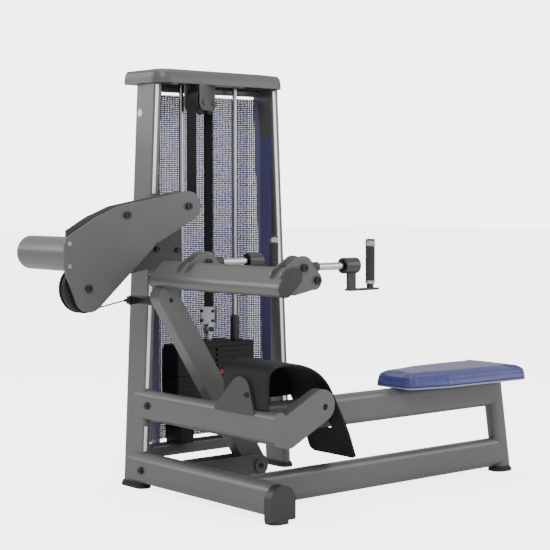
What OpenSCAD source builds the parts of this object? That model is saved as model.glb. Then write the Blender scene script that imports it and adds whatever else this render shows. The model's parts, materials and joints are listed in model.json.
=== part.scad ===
/* [Tower] */
// Height of the top of the tower cap
tower_h = 1680; // [1500:10:1800]
// Height of the underside of the tower cap
cap_z = 1620; // [1450:10:1750]
// Half of the spacing of the two upright feet
foot_half = 374; // [340:2:400]
// Inward lean of each upright in degrees
lean = 2.6; // [1:0.1:3.5]
// Width of an upright tube across the machine
upright_w = 38; // [34:1:44]
// Depth of an upright tube
upright_d = 138; // [120:2:150]

/* [Weight stack] */
// Number of plates above the selector pin
lifted_n = 5; // [2:1:7]
// Number of plates below the selector pin
resting_n = 9; // [5:1:10]
// Thickness of one weight plate
plate_t = 22; // [18:1:23]
// Width of a weight plate
plate_w = 400; // [340:10:410]
// Depth of a weight plate
plate_d = 112; // [100:2:116]
// Distance between the two guide rods
rod_span = 277; // [240:1:290]
// Diameter of a guide rod
rod_d = 20; // [16:1:24]

/* [Frame tubes] */
// Height of the flat oval frame tube
tube_h = 122; // [100:2:130]
// Thickness of the flat oval frame tube
tube_w = 62; // [56:2:70]
// Wall of every frame tube
wall = 3; // [2:0.5:4]
// Distance of the seat centre line in front of the tower
seat_y = -705; // [-720:5:-690]

/* [Swing lever] */
// Height of the lever pivot above the floor
pivot_z = 92; // [85:1:100]
// Distance of the lever pivot from the left foot
pivot_x = 365; // [350:1:380]
// Length of the crossbar
crossbar_l = 768; // [740:2:780]
// Distance between the two handle rods
rod_gap = 550; // [520:5:560]

/* [Seat] */
// Length of the seat pad
seat_l = 650; // [600:10:680]
// Width of the seat pad at its rear end
seat_w = 336; // [300:4:360]
// Thickness of the seat pad
seat_t = 52; // [45:1:60]

/* [Hidden] */
$fn = 64;

mid_x = 380;                 // middle of the tower; the left foot pad covers the origin
stack_y = -8;                // plane of stack, rods and right belt strand
stack_x = 369;               // middle of the stack
boom_y0 = -162;              // front face of the near cheek
boom_y1 = -78;               // back face of the far cheek
boom_y = (boom_y0 + boom_y1) / 2;
cheek_t = 8;
lever_y = -305;
bar_x = -48; bar_z = 868; bar_tilt = 43;
bar_y0 = -1020; bar_y1 = bar_y0 + crossbar_l;
elbow = [-70, 786];
stack_z0 = 236;
lift_z0 = stack_z0 + resting_n * plate_t + 1;
top_z0 = lift_z0 + lifted_n * plate_t + 1;
top_z1 = top_z0 + 26;
near_y = seat_y - rod_gap / 2;
far_y = seat_y + rod_gap / 2;
rod_z = 918;
grip_x = 372;
bench_z = 345;
seat_z0 = bench_z + tube_h / 2 + 6;
R_c = [153, 1129]; L_c = [-318, 818]; P_c = [-141, 1096];
strandR = [stack_x, stack_y];
strandL = [R_c[0] + 46, boom_y];
run = norm(strandR - strandL);
yaw = atan2(strandR[1] - strandL[1], strandR[0] - strandL[0]); // the top belt run turns from the stack plane to the boom plane

function rot2(a, p) = [p[0] * cos(a) - p[1] * sin(a), p[0] * sin(a) + p[1] * cos(a)];

module rrect(w, h, r) {
  square([w - 2 * r, h], center = true);
  square([w, h - 2 * r], center = true);
  for (sx = [-1, 1], sy = [-1, 1]) translate([sx * (w / 2 - r), sy * (h / 2 - r)]) circle(r);
}
module tube2d(w, h, r, t) { difference() { rrect(w, h, r); rrect(w - 2 * t, h - 2 * t, r - t); } }
module stadium(l, r) { translate([0, -r]) square([l, 2 * r]); circle(r); translate([l, 0]) circle(r); }
// profile in X-Z carried along Y from y0 to y1
module along_y(y0, y1) { translate([0, y1, 0]) rotate([90, 0, 0]) linear_extrude(y1 - y0) children(); }
// profile in Y-Z carried along X from x0 to x1
module along_x(x0, x1) { translate([x0, 0, 0]) rotate([90, 0, 90]) linear_extrude(x1 - x0) children(); }
module rod_y(x, z, y0, y1, r) { translate([x, y0, z]) rotate([-90, 0, 0]) cylinder(r = r, h = y1 - y0); }
module rod_x(y, z, x0, x1, r) { translate([x0, y, z]) rotate([0, 90, 0]) cylinder(r = r, h = x1 - x0); }
module rod_z(x, y, z0, z1, r) { translate([x, y, z0]) cylinder(r = r, h = z1 - z0); }
module socket_head_y(x, z, y, s, r = 10, h = 8) {
  // cap screw head standing on a face at y, pointing to -Y (s = -1) or +Y
  translate([x, y, z]) rotate([s < 0 ? 90 : -90, 0, 0]) difference() {
    cylinder(r = r, h = h);
    translate([0, 0, h - 4]) cylinder(r = r * 0.45, h = 5, $fn = 6);
  }
}

// ---- tower -------------------------------------------------------------
module upright_shape(s, grow = 0) {
  intersection() {
    translate([mid_x + s * foot_half, 0, 0]) rotate([0, -s * lean, 0]) translate([0, 0, -60])
      linear_extrude(1780) rrect(upright_w + 2 * grow, upright_d + 2 * grow, 15 + grow);
    translate([mid_x + s * foot_half - 200, -200, 20]) cube([400, 400, cap_z - 20]);
  }
}
module upright_hollow(s) {
  intersection() {
    translate([mid_x + s * foot_half, 0, 0]) rotate([0, -s * lean, 0]) translate([0, 0, -60])
      linear_extrude(1780) tube2d(upright_w, upright_d, 15, wall);
    translate([mid_x + s * foot_half - 200, -200, 20]) cube([400, 400, cap_z - 20]);
  }
}
module left_upright() color("dimgray") upright_hollow(-1);
module right_upright() color("dimgray") upright_hollow(1);
module trim(s) {
  // thin bright strip along the front outer corner of an upright
  x0 = -upright_w / 2 + 2;
  translate([mid_x + s * foot_half, 0, 0]) rotate([0, -s * lean, 0])
    translate([x0, -upright_d / 2 - 3, 118]) cube([12, 3, cap_z - 118 - 6]);
}
module trim_cuts() {
  translate([-120, -100, 250]) cube([240, 60, 152]);
  translate([-120, -100, 0]) cube([240, 60, 150]);
  translate([-150, -100, 860]) cube([400, 60, 320]);
}
module upright_trims() color("white") {
  difference() { trim(-1); trim_cuts(); }
  trim(1);
}
module rubber_feet() color("black") {
  for (s = [-1, 1]) translate([mid_x + s * foot_half, 0, 0]) {
    linear_extrude(12) rrect(66, 156, 32);
    translate([0, 0, 12]) linear_extrude(8) rrect(58, 148, 28);
  }
  translate([post_x0 - 8, seat_y, 0]) {
    linear_extrude(12) rrect(104, 84, 40);
    translate([0, 0, 12]) linear_extrude(8) rrect(92, 74, 36);
  }
}
// cap outline: large round corners in front, small ones behind, where it overhangs
module cap2d(g) hull() {
  for (x = [49 + 60, 711 - 60]) translate([x, -107 + 60]) circle(60 - g, $fn = 40);
  for (x = [38 + 14, 711 - 14]) translate([x, 127 - 14]) circle(14 - g > 1 ? 14 - g : 1, $fn = 24);
}
module top_cap() color("gray") {
  difference() {
    union() {
      translate([0, 0, cap_z]) linear_extrude(22) cap2d(0);
      hull() {
        translate([0, 0, cap_z + 22]) linear_extrude(1) cap2d(0);
        translate([0, 0, cap_z + 42]) linear_extrude(1) cap2d(5);
        translate([0, 0, cap_z + 52]) linear_extrude(1) cap2d(13);
        translate([mid_x, 10, tower_h - 1]) linear_extrude(1) rrect(560, 130, 50);
      }
    }
    translate([mid_x, 0, cap_z - 1]) linear_extrude(12) rrect(640, 192, 50);
  }
  for (s = [-1, 1]) translate([mid_x + s * 255, 0, cap_z]) linear_extrude(11) rrect(50, 130, 12);
}
module tower_crossmembers() color("dimgray") {
  difference() {
    union() {
      along_x(20, 740) translate([10, 133]) tube2d(70, 50, 12, wall);
      along_x(80, 680) translate([43, cap_z - 14]) tube2d(38, 26, 8, wall);
    }
    upright_shape(-1); upright_shape(1);
  }
}
module mesh_panel() color("slateblue") {
  // perforated sheet closing the back, folded forward along both uprights
  t = 2; mesh_h = cap_z - 36 - 164;
  difference() {
    union() {
      translate([120, 66, 164]) cube([520, t, mesh_h]);
      for (s = [-1, 1]) {
        hull() {
          translate([mid_x + s * 260 - 1, 66, 164]) cube([2, t, mesh_h]);
          translate([mid_x + s * 292 - 1, 20, 164]) cube([2, t, mesh_h]);
        }
        translate([mid_x + s * 292 - 1, -54, 164]) cube([t, 75, mesh_h]);
      }
    }
    upright_shape(-1, 0.5); upright_shape(1, 0.5);
  }
}
module guide_rods() color("silver") for (s = [-1, 1])
  rod_z(stack_x + s * rod_span / 2, stack_y, 158, cap_z + 11, rod_d / 2);

// ---- weight stack --------------------------------------------------------
module plate_shape(t, w, d, hole = 0.5) {
  difference() {
    translate([stack_x, stack_y, 0]) linear_extrude(t) rrect(w, d, 6);
    for (s = [-1, 1]) rod_z(stack_x + s * rod_span / 2, stack_y, -1, t + 1, rod_d / 2 + hole + 2);
    rod_z(stack_x, stack_y, -1, t + 1, 13.5);
  }
}
module pin_groove(t) translate([stack_x - 6, stack_y - plate_d, t - 5.5]) cube([12, 2 * plate_d, 11]);
module stack_pedestal() color("black") {
  difference() {
    union() {
      translate([stack_x - 150, stack_y, 158]) linear_extrude(66) rrect(70, 104, 6);
      translate([stack_x + 150, stack_y, 158]) linear_extrude(66) rrect(70, 104, 6);
      translate([stack_x, stack_y, 218]) linear_extrude(6) rrect(380, 108, 6);
    }
    for (s = [-1, 1]) rod_z(stack_x + s * rod_span / 2, stack_y, 150, 260, rod_d / 2 + 0.5);
    rod_z(stack_x, stack_y, 150, 260, 15);
  }
}
module stack_buffers() color("black") for (s = [-1, 1]) difference() {
  rod_z(stack_x + s * rod_span / 2, stack_y, 224, stack_z0, 24);
  rod_z(stack_x + s * rod_span / 2, stack_y, 223, stack_z0 + 1, rod_d / 2 + 0.5);
}
module resting_plates() color([0.09, 0.09, 0.1]) for (i = [0 : resting_n - 1])
  translate([0, 0, stack_z0 + i * plate_t]) difference() {
    plate_shape(plate_t - 1, plate_w, plate_d);
    pin_groove(plate_t / 2 - 0.5);
  }
module lifted_plates() color([0.09, 0.09, 0.1]) for (i = [0 : lifted_n - 1])
  translate([0, 0, lift_z0 + i * plate_t]) difference() {
    plate_shape(plate_t - 1, plate_w, plate_d);
    pin_groove(plate_t / 2 - 0.5);
  }
module top_plate() color("black") difference() {
  union() {
    translate([stack_x, stack_y, top_z0]) linear_extrude(14) rrect(plate_w - 6, plate_d, 8);
    translate([stack_x, stack_y, top_z0 + 14]) linear_extrude(12) rrect(170, 96, 8);
    for (s = [-1, 1]) rod_z(stack_x + s * rod_span / 2, stack_y, top_z0 + 14, top_z0 + 20, 27);
  }
  for (s = [-1, 1]) rod_z(stack_x + s * rod_span / 2, stack_y, top_z0 - 1, top_z1 + 1, 14.1);
  rod_z(stack_x, stack_y, top_z0 - 1, top_z1 + 1, 12.02);
}
module guide_bushings() color("black") for (s = [-1, 1]) difference() {
  union() {
    rod_z(stack_x + s * rod_span / 2, stack_y, top_z0, top_z0 + 20, 14);
    rod_z(stack_x + s * rod_span / 2, stack_y, top_z0 + 20, top_z0 + 118, 17);
    rod_z(stack_x + s * rod_span / 2, stack_y, top_z0 + 118, top_z0 + 124, 15);
  }
  rod_z(stack_x + s * rod_span / 2, stack_y, top_z0 - 1, top_z0 + 130, rod_d / 2 + 0.08);
}
module selector_stem() color("silver") difference() {
  union() {
    rod_z(stack_x, stack_y, 262, top_z1, 12);
    rod_z(stack_x, stack_y, top_z1, top_z1 + 23, 14);
    rod_z(stack_x, stack_y, top_z1 + 23, top_z1 + 33, 7.5);
    translate([stack_x, stack_y, top_z1 + 44]) rotate([90, 0, 0]) difference() {
      cylinder(r = 17, h = 16, center = true);
      cylinder(r = 8.1, h = 18, center = true);
    }
  }
  for (i = [0 : resting_n + lifted_n - 1])
    rod_y(stack_x, (i < resting_n ? stack_z0 : lift_z0 - resting_n * plate_t) + (i + 0.5) * plate_t - 0.5, stack_y - 20, stack_y + 20, 4.6);
}
pin_z = lift_z0 + plate_t / 2 - 0.5;
module selector_pin() color("crimson") {
  rod_y(stack_x, pin_z, stack_y - plate_d / 2 - 2, stack_y + 40, 4.5);
  rod_y(stack_x, pin_z, stack_y - plate_d / 2 - 34, stack_y - plate_d / 2 - 2, 10);
}
clamp_z0 = top_z1 + 62;
module belt_clamp() color("silver") {
  difference() {
    union() {
      translate([stack_x, stack_y, clamp_z0]) rotate([0, 0, yaw]) translate([-5.5, 0, 0]) {
        translate([-9.5, 0, 0]) rotate([90, 0, 90]) linear_extrude(8) translate([0, 39]) rrect(62, 74, 5);
        translate([4.5 + 3, 0, 0]) rotate([90, 0, 90]) linear_extrude(8) translate([0, 39]) rrect(62, 74, 5);
      }
      // shackle cheeks reaching down to the stem eye
      for (s = [-1, 1]) translate([stack_x, stack_y + s * 13, clamp_z0 - 16]) cube([26, 7, 42], center = true);
      translate([stack_x, stack_y, clamp_z0 + 3.5]) cube([26, 33, 5], center = true);
    }
    rod_y(stack_x, top_z1 + 44, stack_y - 30, stack_y + 30, 8.1);
    for (s = [-1, 1], z = [18, 58]) translate([stack_x, stack_y, clamp_z0 + z]) rotate([0, 0, yaw])
      translate([-30, s * 24.5, 0]) rotate([0, 90, 0]) cylinder(r = 4.2, h = 60);
  }
}
module clamp_bolts() color([0.1, 0.1, 0.1]) {
  for (s = [-1, 1], z = [18, 58]) translate([stack_x, stack_y, clamp_z0 + z]) rotate([0, 0, yaw]) translate([-5.5, s * 24.5, 0]) {
    translate([-9.5, 0, 0]) rotate([0, 90, 0]) cylinder(r = 4.1, h = 30);
    translate([-16.5, 0, 0]) rotate([0, 90, 0]) cylinder(r = 6.4, h = 7);
    translate([15.5, 0, 0]) rotate([0, 90, 0]) cylinder(r = 6.4, h = 6, $fn = 6);
  }
  rod_y(stack_x, top_z1 + 44, stack_y - 17, stack_y + 17, 8);
  rod_y(stack_x, top_z1 + 44, stack_y - 21, stack_y - 17, 11);
  rod_y(stack_x, top_z1 + 44, stack_y + 17, stack_y + 21, 11);
}
// ---- belt and top pulleys -------------------------------------------------
belt_t = 3; belt_w = 40; pr = 44; pul_z = 1548;
// frame of the belt plane: origin at the right strand, +x from left strand to right strand
module belt_frame() { translate([strandR[0], strandR[1], 0]) rotate([0, 0, yaw]) children(); }
module stack_strand() color([0.06, 0.06, 0.07]) belt_frame()
  translate([-belt_t, -belt_w / 2, clamp_z0 + 8]) cube([belt_t, belt_w, pul_z - clamp_z0 - 8]);
module lift_belt() color([0.06, 0.06, 0.07]) belt_frame() {
  difference() {
    along_y(-belt_w / 2, belt_w / 2) translate([-run / 1, 0]) union() {
      translate([pr, pul_z]) circle(pr); translate([run - pr, pul_z]) circle(pr);
      translate([pr, pul_z - pr]) square([run - 2 * pr, 2 * pr]);
    }
    along_y(-belt_w, belt_w) translate([-run / 1, 0]) union() {
      translate([pr, pul_z]) circle(pr - belt_t); translate([run - pr, pul_z]) circle(pr - belt_t);
      translate([pr, pul_z - pr - 5]) square([run - 2 * pr, 2 * pr - belt_t + 5]);
    }
    translate([-run - 20, -belt_w, pul_z - 100]) cube([run + 40, 2 * belt_w, 100]);
  }
  translate([-run, -belt_w / 2, R_c[1] + 34]) cube([belt_t, belt_w, pul_z - R_c[1] - 34]);
}
module wheel(x, z, y, r, w, bore, rim = 5) {
  // flat belt pulley with two low flanges and a bearing seat
  difference() {
    union() {
      rod_y(x, z, y - w / 2, y + w / 2, r);
      rod_y(x, z, y - w / 2 - 3, y - w / 2, r + rim);
      rod_y(x, z, y + w / 2, y + w / 2 + 3, r + rim);
    }
    rod_y(x, z, y - w, y + w, bore);
    for (s = [-1, 1]) rod_y(x, z, s < 0 ? y - w / 2 - 4 : y + w / 2 - 5, s < 0 ? y - w / 2 + 5 : y + w / 2 + 4, r * 0.62);
  }
}
module top_wheel(x) belt_frame() difference() {
  union() {
    rod_y(x, pul_z, -belt_w / 2 - 1, belt_w / 2 + 1, pr - belt_t - 0.2);
    for (s = [-1, 1]) rod_y(x, pul_z, s < 0 ? -belt_w / 2 - 4 : belt_w / 2 + 1, s < 0 ? -belt_w / 2 - 1 : belt_w / 2 + 4, pr + 2);
  }
  rod_y(x, pul_z, -40, 40, 8.05);
}
module top_pulley_right() color([0.12, 0.12, 0.12]) top_wheel(-pr);
module top_pulley_left() color([0.12, 0.12, 0.12]) top_wheel(-run + pr);
module top_pulley_bracket() color("black") belt_frame() {
  difference() {
    for (s = [-1, 1]) along_y(s < 0 ? -36 : 30, s < 0 ? -30 : 36) union() {
      translate([-run + 14, pul_z]) square([run - 28, cap_z + 10.9 - pul_z]);
      translate([-run + pr, pul_z]) circle(pr - 14 + 2);
      translate([-pr, pul_z]) circle(pr - 14 + 2);
      translate([-run + pr, pul_z - 32]) square([run - 2 * pr, 40]);
    }
    for (x = [-pr, -run + pr]) rod_y(x, pul_z, -50, 50, 8.2);
    // above the cap's rim the cheeks stay inside its recess
    rotate([0, 0, -yaw]) translate([-strandR[0], -strandR[1], cap_z - 1]) linear_extrude(60) difference() {
      translate([mid_x, 0]) square([1200, 700], center = true);
      translate([mid_x, 0]) rrect(638, 190, 49);
    }
  }
  for (x = [-pr, -run + pr]) {
    rod_y(x, pul_z, -46, 46, 8);
    rod_y(x, pul_z, -46, -38, 13); rod_y(x, pul_z, 38, 46, 13);
    rod_y(x, pul_z, -38, -36, 8); 
  }
}

// ---- boom ------------------------------------------------------------------
module cheek2d() {
  hull() { translate(R_c) circle(60, $fn = 32); translate([-20, 1070]) circle(86, $fn = 32); translate([-150, 1045]) circle(88, $fn = 32); translate([-230, 1010]) circle(90, $fn = 32); }
  hull() { translate([-384, 985]) circle(38, $fn = 32); translate([-372, 905]) circle(52, $fn = 32); translate(L_c + [6, -25]) circle(66, $fn = 32);
           translate([-225, 930]) circle(72, $fn = 32); translate([-235, 1010]) circle(90, $fn = 32); }
  hull() { translate(L_c + [6, -25]) circle(66, $fn = 32); translate([-230, 890]) circle(58, $fn = 32); translate([-60, 1010]) circle(60, $fn = 32); translate([-150, 1000]) circle(60, $fn = 32); }
}
module cheek_holes() {
  for (c = [R_c, L_c, P_c]) rod_y(c[0], c[1], -400, 100, 8.2);
  for (z = [905, 990]) rod_y(-402, z, -400, 0, 4.2);
}
module boom_near_cheek() color("gray") difference() { along_y(boom_y0, boom_y0 + cheek_t) cheek2d(); cheek_holes(); }
module far_cheek2d() difference() {
  cheek2d();
  translate([-600, 700]) square([600 - 368, 500]);
  translate(tube_c) circle(tube_r);
}
module boom_far_cheek() color("gray") difference() { along_y(boom_y1 - cheek_t, boom_y1) far_cheek2d(); cheek_holes(); }
module boom_web() color("gray") difference() {
  along_y(boom_y0 + cheek_t, boom_y1 - cheek_t)
    polygon([[-318, 1032], [-225, 1092], [-120, 1126], [60, 1160], [61.5, 1152.1], [-118, 1118.2], [-221.5, 1084.7], [-313.7, 1025.2]]);
  rod_y(P_c[0], P_c[1], -400, 100, 9);
}
tube_c = [-352, 948]; tube_r = 66;
tube_y0 = boom_y0 + cheek_t; tube_y1 = 190;
module boom_tube() color("gray") difference() {
  union() {
    rod_y(tube_c[0], tube_c[1], tube_y0, tube_y1, tube_r);
    translate([tube_c[0], tube_y1, tube_c[1]]) rotate([-90, 0, 0]) intersection() {
      translate([0, 0, -160 + 22]) sphere(r = 160, $fn = 96);
      cylinder(r = tube_r, h = 40);
    }
  }
  rod_y(tube_c[0], tube_c[1], tube_y0 - 1, tube_y1 - 6, tube_r - 4);
  // room for the large wheel
  rod_y(L_c[0], L_c[1], boom_y - 22, boom_y + 22, 99);
}
module boom_mount_plate() color([0.25, 0.25, 0.25]) difference() {
  along_y(boom_y1, -69.06) union() {
    polygon([[-60, 1090], [176, 1090], [176, 896], [30, 882], [-100, 858], [-120, 880], [-120, 1050]]);
  }
  rod_y(58, 958, -120, 0, 6.3); rod_y(160, 952, -120, 0, 6.3);
  for (c = [R_c, P_c]) rod_y(c[0], c[1], -400, 100, 19);
}
module frame_bolts() color([0.1, 0.1, 0.1]) {
  for (p = [[ub_x - tube_w / 2, ub_z + 4], [fb_x - fb_w / 2, fb_z]]) {
    translate([p[0], -104, p[1]]) rotate([0, -90, 0]) cylinder(r = 15, h = 5);
    translate([p[0] - 5, -104, p[1]]) rotate([0, -90, 0]) difference() { cylinder(r = 11, h = 7); translate([0, 0, 3]) cylinder(r = 5, h = 6, $fn = 6); }
  }
  for (c = [R_c, L_c, P_c]) {
    rod_y(c[0], c[1], boom_y0 - 1, boom_y1 + 1, 8);
    socket_head_y(c[0], c[1], boom_y0, -1, 14, 11);
    rod_y(c[0], c[1], boom_y1, boom_y1 + 8, 13);
  }
  rod_y(P_c[0], P_c[1], boom_y0 + cheek_t, boom_y1 - cheek_t, 8);
  for (p = [[58, 958], [160, 952]]) {
    rod_y(p[0], p[1], boom_y1 - 1, -69, 6);
    socket_head_y(p[0], p[1], boom_y1, -1, 11, 10);
  }
}
module boom_screws() color("silver") for (z = [905, 990]) {
  rod_y(-402, z, boom_y0 - 1, boom_y0 + cheek_t, 4);
  socket_head_y(-402, z, boom_y0, -1, 9, 4);
}
module boom_small_pulley() color([0.12, 0.12, 0.12]) wheel(R_c[0], R_c[1], boom_y, 42, 44, 8.05, 4);
module boom_large_pulley() color([0.12, 0.12, 0.12]) wheel(L_c[0], L_c[1], boom_y, 86, 30, 8.05, 9);
arm_p = [-66, 763];          // end of the cable on the arm
cab_a = atan2(arm_p[1] - (L_c[1] - 88), arm_p[0] - L_c[0]);
cab0 = [L_c[0] + 89.2 * sin(cab_a), L_c[1] - 89.2 * cos(cab_a)];
module lever_cable() color([0.05, 0.05, 0.05])
  translate([cab0[0], boom_y, cab0[1]]) rotate([0, 90 - atan2(arm_p[1] - cab0[1], arm_p[0] - cab0[0]), 0])
    cylinder(r = 3, h = norm(arm_p - cab0) - 62, $fn = 24);
module cable_arm() color([0.08, 0.08, 0.08]) difference() {
  union() {
    // foot bolted to the back of the lever, bar, and clevis at the cable plane
    along_y(lever_y + lev_t / 2, lever_y + lev_t / 2 + 12) translate(arm_p + [2, 6]) rrect(64, 60, 12);
    along_y(lever_y + lev_t / 2 + 12, boom_y + 16) translate(arm_p) rrect(34, 34, 8);
    for (s = [-1, 1]) translate([arm_p[0] - 44, boom_y - 13, arm_p[1] + s * 12 - 3]) cube([30, 26, 6]);
    translate([arm_p[0] - 34, boom_y, arm_p[1] - 19]) cylinder(r = 6, h = 38);
    translate([arm_p[0] - 44, boom_y - 9, arm_p[1] - 9]) cube([20, 18, 18]);
    translate([arm_p[0] - 61.5, boom_y, arm_p[1]]) rotate([0, 90, 0]) cylinder(r1 = 5, r2 = 9, h = 18);
  }
  along_y(lever_y - 60, lever_y + lev_t / 2) square([4, 4]);
}
// ---- swing lever --------------------------------------------------------------
lev_w = 88; lev_t = 62;
function arc_pts(c, r, a0, a1, n) = [for (i = [0 : n]) c + r * [cos(a0 + (a1 - a0) * i / n), sin(a0 + (a1 - a0) * i / n)]];
// outline of the lever: long leg from the pivot to the elbow, short leg from the elbow to the crossbar
module lever_seg2d() {
  pv = [pivot_x, pivot_z]; bar = [bar_x, bar_z]; h = lev_w / 2;
  a = atan2(pv[1] - elbow[1], pv[0] - elbow[0]);
  b = atan2(bar[1] - elbow[1], bar[0] - elbow[0]);
  n1 = [cos(a + 90), sin(a + 90)]; n2 = [cos(b - 90), sin(b - 90)];
  polygon(concat(arc_pts(pv, 46, a - 90, a + 90, 36), [elbow + h * (n1 + n2) / (1 + n1 * n2)],
    [bar + h * n2, bar - h * n2], arc_pts(elbow, h, b + 90, a + 270, 10)));
}
module lever_solid() along_y(lever_y - lev_t / 2, lever_y + lev_t / 2) lever_seg2d();
module bar_profile(g = 0) translate([bar_x, bar_z]) rotate(bar_tilt) rrect(tube_h + 2 * g, tube_w + 2 * g, 30.9 + g);
module swing_lever() color("gray") difference() {
  lever_solid();
  along_y(lever_y - 60, lever_y + 60) bar_profile(0);
  along_y(lever_y - 60, lever_y + 60) translate([bar_x, bar_z]) rotate(bar_tilt) translate([-150, -6]) square([300, 150]);
  rod_y(pivot_x, pivot_z, -400, -200, 20.05);
  rod_y(elbow[0] + 12, elbow[1] - 14, lever_y - lev_t / 2 - 1, lever_y - lev_t / 2 + 14, 9);
}
module crossbar() color("gray") along_y(bar_y0, bar_y1) difference() {
  bar_profile(0);
  translate([bar_x, bar_z]) rotate(bar_tilt) rrect(tube_h - 2 * wall, tube_w - 2 * wall, 27.9);
}
module crossbar_caps() color([0.2, 0.2, 0.2]) {
  along_y(bar_y0 - 7, bar_y0) bar_profile(0.05);
  along_y(bar_y1, bar_y1 + 7) bar_profile(0.05);
  along_y(bar_y0, bar_y0 + 16) translate([bar_x, bar_z]) rotate(bar_tilt) rrect(tube_h - 2 * wall - 1, tube_w - 2 * wall - 1, 27.4);
  along_y(bar_y1 - 16, bar_y1) translate([bar_x, bar_z]) rotate(bar_tilt) rrect(tube_h - 2 * wall - 1, tube_w - 2 * wall - 1, 27.4);
}
module pivot_bracket() color("gray") difference() {
  union() {
    for (s = [-1, 1]) along_y(s < 0 ? lever_y - 45 : lever_y + 33, s < 0 ? lever_y - 33 : lever_y + 45) union() {
      translate([pivot_x, pivot_z]) circle(44);
      translate([49, pivot_z - 44]) square([pivot_x - 49, 88]);
    }
    translate([49, lever_y - 33, pivot_z - 44]) cube([150, 66, 10]);
  }
  floor_beam_shape(0);
  rod_y(pivot_x, pivot_z, -400, -200, 20.05);
}
module pivot_shaft() color("silver") {
  rod_y(pivot_x, pivot_z, lever_y - 47, lever_y + 47, 20);
  rod_y(pivot_x, pivot_z, lever_y - 53, lever_y - 45, 27);
  rod_y(pivot_x, pivot_z, lever_y + 45, lever_y + 53, 27);
}
// ---- handles ------------------------------------------------------------------
module bracket2d() {
  hull() { translate([22, 912]) circle(48, $fn = 32); translate([bar_x - 8, bar_z + 22]) circle(26, $fn = 32); translate([10, 890]) circle(48, $fn = 32); }
  hull() { translate([22, 905]) circle(45, $fn = 32); translate([74, 872]) circle(34, $fn = 32); }
  hull() { translate([74, 868]) circle(28, $fn = 32); translate([-20, 836]) circle(14, $fn = 32); translate([10, 890]) circle(30, $fn = 32); }
}
module rod_bracket(y) difference() {
  union() {
    along_y(y - 31, y - 23) bracket2d();
    along_y(y + 23, y + 31) bracket2d();
  }
  along_y(y - 60, y + 60) bar_profile(0);
  rod_y(24, rod_z, y - 60, y + 60, 8.2);
  rod_y(86, 872, y - 60, y + 60, 8.2);
}
module near_rod_bracket() color("gray") rod_bracket(near_y);
module far_rod_bracket() color("gray") rod_bracket(far_y);
module bracket_bolts() color([0.1, 0.1, 0.1]) for (y = [near_y, far_y]) {
  for (p = [[24, rod_z], [86, 872]]) {
    rod_y(p[0], p[1], y - 32, y + 32, 8);
    socket_head_y(p[0], p[1], y - 31, -1, 14, 11);
    rod_y(p[0], p[1], y + 31, y + 39, 13);
  }
  rod_y(86, 872, y - 22.9, y + 22.9, 12);
}
module handle_rods() color("silver") for (y = [near_y, far_y]) difference() {
  union() {
    rod_x(y, rod_z, 40, 309, 13.5);
    translate([24, y - 22.9, rod_z]) rotate([-90, 0, 0]) cylinder(r = 22, h = 45.8);
  }
  rod_y(24, rod_z, y - 60, y + 60, 8.2);
}
module rod_collars() color([0.08, 0.08, 0.08]) for (y = [near_y, far_y]) difference() {
  rod_x(y, rod_z, 84, 112, 18);
  rod_x(y, rod_z, 80, 120, 13.52);
}
module handle(y) {
  // hub on the rod, drop plate and foot bar carrying the grip post
  difference() {
    rod_x(y, rod_z, 236, 300, 29);
    rod_x(y, rod_z, 230, 301, 13.58);
    rod_x(y, rod_z, 235, 246, 22);
  }
  difference() {
    union() {
      translate([258, y - 4, 832]) linear_extrude(70) translate([20, 4]) rrect(42, 10, 3);
      translate([258, y - 14, 826]) cube([146, 28, 8]);
    }
    rod_x(y, rod_z, 230, 301, 20);
  }
  rod_z(grip_x, y, 834, 848, 13);
  rod_z(grip_x, y, 848, 1006, 9);
  rod_z(grip_x, y, 1006.3, 1010, 17);
  rod_z(grip_x, y, 1006, 1006.3, 9);
}
module near_handle() color([0.1, 0.1, 0.1]) handle(near_y);
module far_handle() color([0.1, 0.1, 0.1]) handle(far_y);
module grip(y) difference() {
  union() {
    rod_z(grip_x, y, 848.3, 858, 18.5);
    rod_z(grip_x, y, 858, 990, 17.5);
    rod_z(grip_x, y, 990, 1006, 18.5);
  }
  rod_z(grip_x, y, 840, 1010, 9.06);
}
module near_grip() color([0.1, 0.1, 0.1]) grip(near_y);
module far_grip() color([0.1, 0.1, 0.1]) grip(far_y);

// ---- floor frame ----------------------------------------------------------------
fb_x = 4; fb_w = 90; fb_z = 83;
ub_x = 22; ub_z = 334;
module floor_beam_shape(g = 0) along_y(-888, -69) translate([fb_x, fb_z]) rrect(fb_w + 2 * g, tube_h, 40 + g);
module floor_beam() color("dimgray") difference() {
  floor_beam_shape();
  along_y(-889, -68) translate([fb_x, fb_z]) rrect(fb_w - 2 * wall, tube_h - 2 * wall, 40 - wall);
}
module upper_beam_shape() along_y(-838, -69) translate([ub_x, ub_z]) rrect(tube_w, tube_h, 30.5);
module upper_beam() color("dimgray") difference() {
  upper_beam_shape();
  along_y(-839, -68) translate([ub_x, ub_z]) rrect(tube_w - 2 * wall, tube_h - 2 * wall, 27.5);
}
module saddle(cx, z, w, r) difference() {
  // the beam runs on past the side of the upright and ends round
  intersection() {
    along_y(-69, 60) translate([cx, z]) rrect(w, tube_h, r);
    translate([-100, 0, z]) rotate([90, 0, 90]) linear_extrude(106) union() {
      translate([-50, 0]) circle(tube_h / 2);
      translate([-150, -tube_h / 2]) square([100, tube_h]);
    }
  }
  upright_shape(-1);
}
module beam_saddles() color("gray") { saddle(ub_x, ub_z, tube_w, 30.5); saddle(fb_x, fb_z, fb_w, 40); }
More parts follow.
